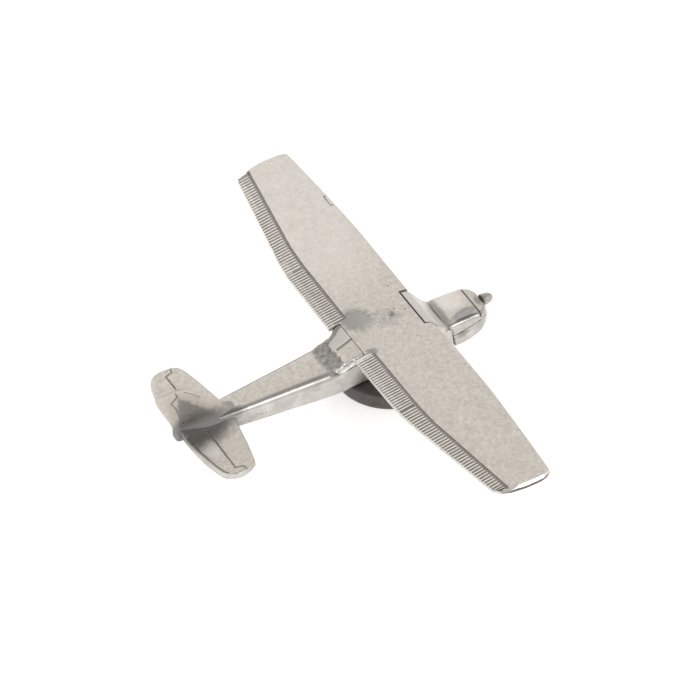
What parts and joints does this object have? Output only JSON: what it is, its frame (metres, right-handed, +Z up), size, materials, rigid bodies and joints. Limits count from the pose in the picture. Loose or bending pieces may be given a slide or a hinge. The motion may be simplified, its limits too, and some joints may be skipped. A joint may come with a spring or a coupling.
{
  "type": "propeller plane model",
  "caption": "Small cast pewter model of a high-wing, single-engine propeller plane, soldered up from castings and standing on a round disc magnet.",
  "frame": {"origin": "centre of the magnet's flat bottom face, which the model stands on or holds itself to steel with", "axes": "+X to the nose, +Y to the left wing tip, +Z up through the cabin"},
  "size_m": [0.0658, 0.0886, 0.0165],
  "materials": {
    "pewter": "as-cast pewter, satin, with darkened recesses",
    "solder": "bright tin solder, rough",
    "steel": "plain wire",
    "ferrite": "ground ferrite, dark brown-grey",
    "glue": "cured adhesive"
  },
  "bodies": {
    "airframe": {"fuselage": "pewter", "wing": "pewter", "cowling": "pewter", "fin": "pewter", "tailplane_left": "pewter", "tailplane_right": "pewter", "wing_pin_front": "steel", "wing_pin_rear": "steel", "cowling_pin_left": "steel", "cowling_pin_right": "steel", "tailplane_pin": "steel", "fin_pin": "steel", "solder_fillet_rear": "solder", "solder_fillet_left": "solder", "solder_fillet_right": "solder", "magnet": "ferrite", "glue_pad": "glue"},
    "spinner": {"spinner": "pewter", "spinner_shaft": "steel"}
  },
  "joints": [
    {"name": "spinner_spin", "type": "hinge", "parent": "airframe", "child": "spinner", "pos_m": [0.01805, 0, 0.00685], "axis": [1, 0, 0], "continuous": true}
  ]
}
